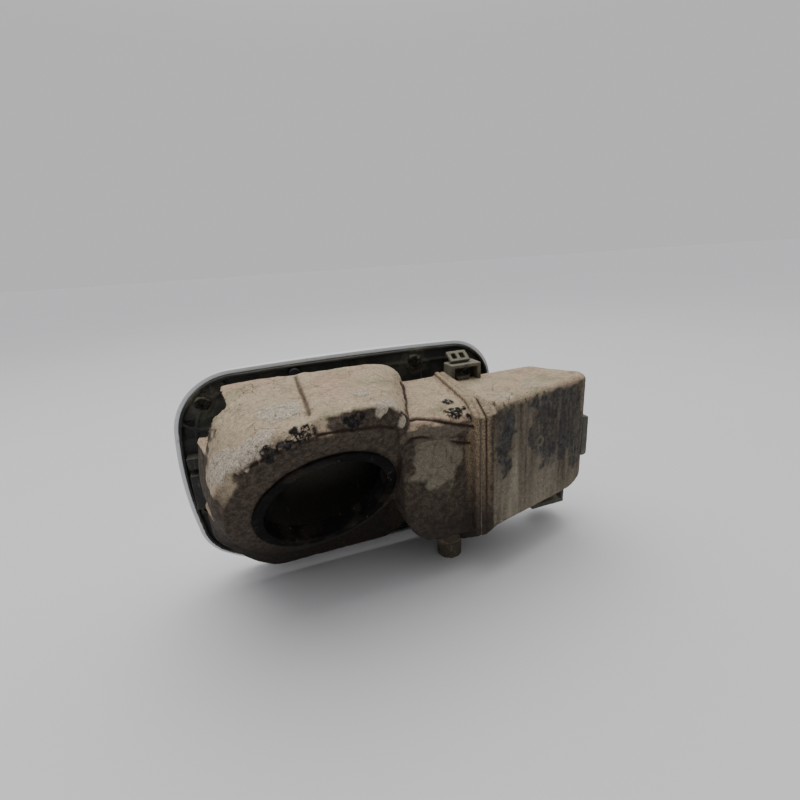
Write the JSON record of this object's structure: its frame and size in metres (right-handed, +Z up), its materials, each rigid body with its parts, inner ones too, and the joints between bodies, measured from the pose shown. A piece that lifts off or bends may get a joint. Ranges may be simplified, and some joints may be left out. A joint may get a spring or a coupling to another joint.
{
  "type": "fuel filler flap with pot",
  "caption": "Car fuel filler flap with moulded filler pot, slanted neck opening, drain nipple and gooseneck hinge box, caked in dried road mud.",
  "frame": {"origin": "middle of the base of the whole part's box, flap shut", "axes": "+X along the flap's width towards the hinge, +Y out of the car body through the painted face, +Z up"},
  "size_m": [0.2492, 0.0886, 0.133],
  "materials": {
    "pot_plastic": "dusty",
    "box_plastic": "dusty",
    "drain_plastic": "rough",
    "carrier_plastic": "scuffed",
    "clip_plastic": "dusty",
    "arm_plastic": "satin",
    "bush_plastic": "satin",
    "seal_rubber": "matte",
    "screw_steel": "satin",
    "body_paint": "gloss"
  },
  "bodies": {
    "housing": {"filler_pot": "pot_plastic", "hinge_box": "box_plastic", "neck_seal": "seal_rubber", "drain_spigot": "drain_plastic", "joint_gasket": "seal_rubber", "joint_screws": "screw_steel", "top_clip_bracket": "clip_plastic", "top_body_clip": "clip_plastic", "bottom_clip_bracket": "clip_plastic", "bottom_body_clip": "clip_plastic", "pivot_cover": "box_plastic", "hinge_pin": "screw_steel", "pin_clip": "screw_steel", "detent_spring": "screw_steel", "detent_rivets": "screw_steel"},
    "flap": {"flap_skin": "body_paint", "flap_carrier": "carrier_plastic", "skin_clips": "carrier_plastic", "flap_buffers": "seal_rubber", "latch_striker": "carrier_plastic", "striker_screw": "screw_steel", "hinge_arm": "arm_plastic", "arm_screws": "screw_steel", "hinge_bush_lower": "bush_plastic", "hinge_bush_upper": "bush_plastic"}
  },
  "joints": [
    {"name": "flap_hinge", "type": "hinge", "parent": "housing", "child": "flap", "pos_m": [0.0991, 0.01028, 0.068], "axis": [0, 0, -1], "range_deg": [0, 90]}
  ]
}
